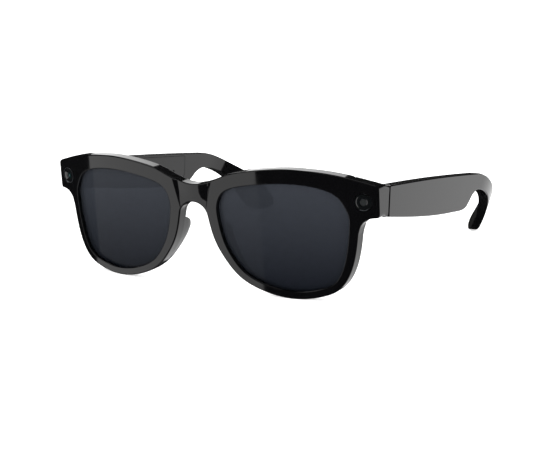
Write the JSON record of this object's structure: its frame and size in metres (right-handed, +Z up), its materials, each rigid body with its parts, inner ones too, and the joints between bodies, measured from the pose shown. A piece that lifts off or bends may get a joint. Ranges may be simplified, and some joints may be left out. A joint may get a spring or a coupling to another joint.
{
  "type": "smart glasses",
  "caption": "Spectacle-shaped smart glasses with a bowed front, tinted lenses, a camera and an indicator in the end pieces, and folding temples that hold the electronics.",
  "frame": {"origin": "middle of the footprint, on the surface that the rims and the tips of the temples stand on", "axes": "+X towards the wearer's left, +Y from the front back along the temples, +Z up"},
  "size_m": [0.146, 0.1391, 0.0482],
  "materials": {
    "frame_black": "polished",
    "inner_black": "satin",
    "tinted_lens": "polished, tinted darker towards the top",
    "dark_window": "polished, coated",
    "anodised_grey": "anodised",
    "black_barrel": "matt black",
    "sensor_grey": "moulded",
    "light_pipe": "frosted",
    "circuit_board": "solder mask",
    "flex_circuit": "film",
    "plated_contact": "gold plated",
    "steel": "brushed",
    "tinned_can": "tinned",
    "cell_foil": "foil",
    "mesh_grey": "etched"
  },
  "bodies": {
    "frame": {"front_shell": "frame_black", "rear_shell": "frame_black", "lens_left": "tinted_lens", "lens_right": "tinted_lens", "nose_pad_left": "inner_black", "nose_pad_right": "inner_black", "camera_bezel": "anodised_grey", "camera_window": "dark_window", "camera_barrel": "black_barrel", "camera_module": "sensor_grey", "indicator_bezel": "anodised_grey", "indicator_window": "dark_window", "indicator_light_pipe": "light_pipe", "indicator_board": "circuit_board", "charge_port": "inner_black", "charge_contacts": "plated_contact", "bridge_microphone": "tinned_can", "front_flex": "flex_circuit", "hinge_bracket_left": "steel", "hinge_bracket_right": "steel", "bracket_screws_left": "steel", "bracket_screws_right": "steel", "hinge_pin_left": "steel", "hinge_pin_right": "steel"},
    "left_temple": {"temple_shell_left": "frame_black", "temple_cover_left": "frame_black", "hinge_leaf_left": "steel", "leaf_screws_left": "steel", "battery": "cell_foil", "charging_board": "circuit_board", "speaker_left": "sensor_grey", "speaker_grille_left": "mesh_grey", "temple_microphone_left": "tinned_can", "tip_core_left": "steel", "power_switch": "sensor_grey"},
    "right_temple": {"temple_shell_right": "frame_black", "temple_cover_right": "frame_black", "hinge_leaf_right": "steel", "leaf_screws_right": "steel", "main_board": "circuit_board", "processor_shield": "tinned_can", "touch_sensor": "flex_circuit", "speaker_right": "sensor_grey", "speaker_grille_right": "mesh_grey", "temple_microphone_right": "tinned_can", "tip_core_right": "steel", "capture_switch": "sensor_grey"},
    "power_slider": {"power_slider": "inner_black"},
    "capture_button": {"capture_button": "frame_black"}
  },
  "joints": [
    {"name": "left_temple_fold", "type": "hinge", "parent": "frame", "child": "left_temple", "pos_m": [0.0664, -0.05241, 0.03646], "axis": [0, 0.1242, 0.9923], "range_deg": [0, 85]},
    {"name": "right_temple_fold", "type": "hinge", "parent": "frame", "child": "right_temple", "pos_m": [-0.0664, -0.05241, 0.03646], "axis": [0, -0.1242, -0.9923], "range_deg": [0, 64]},
    {"name": "power_slide", "type": "slide", "parent": "left_temple", "child": "power_slider", "axis": [-0.0175, 0.9921, -0.1242], "range_m": [0, 0.002]},
    {"name": "capture_press", "type": "slide", "parent": "right_temple", "child": "capture_button", "axis": [0, -0.1242, -0.9923], "range_m": [0, 0.0004], "stiffness_N_per_m": 600}
  ]
}
